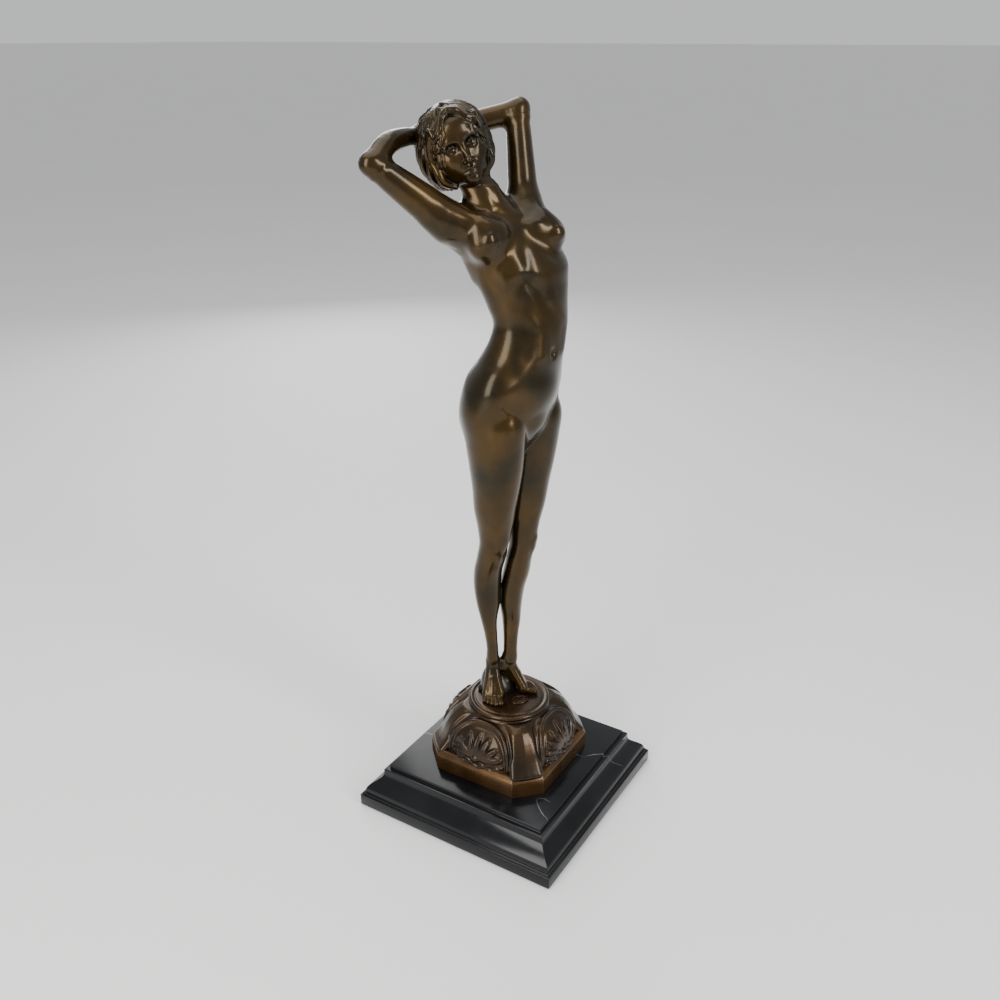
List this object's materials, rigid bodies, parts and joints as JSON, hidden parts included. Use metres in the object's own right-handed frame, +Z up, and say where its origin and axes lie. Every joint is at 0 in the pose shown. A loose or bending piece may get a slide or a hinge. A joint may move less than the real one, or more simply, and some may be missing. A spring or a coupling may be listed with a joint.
{
  "type": "bronze statuette",
  "caption": "Cast bronze standing figure on tiptoe with hands behind the head, on an octagonal bronze plinth and a square moulded marble base with a felt underside.",
  "frame": {"origin": "centre of the underside, on the felt's lower face", "axes": "+Z up; the figure faces -Y; -X is the figure's right-hand side"},
  "size_m": [0.16, 0.16, 0.4914],
  "materials": {
    "bronze": "dark olive-brown patina, waxed and glossy",
    "plinth_bronze": "golden-brown patina, dark in the recesses",
    "dowel_bronze": "bare bronze, as turned",
    "steel": "zinc-plated steel",
    "marble": "polished black marble with a few fine pale veins",
    "felt": "black felt"
  },
  "bodies": {
    "root": {"body_casting": "bronze", "head_casting": "bronze", "right_arm": "bronze", "left_arm": "bronze", "neck_dowel": "dowel_bronze", "right_shoulder_dowel": "dowel_bronze", "left_shoulder_dowel": "dowel_bronze", "heel_mound": "bronze", "seal_medallion": "bronze", "plinth_casting": "plinth_bronze", "foot_studs": "steel", "foot_washers": "steel", "foot_nuts": "steel", "anchor_bar": "steel", "tie_rod": "steel", "tie_nuts": "steel", "tie_washers": "steel", "spring_washer": "steel", "locating_pin": "steel", "marble_base": "marble", "felt_pad": "felt"}
  },
  "joints": []
}
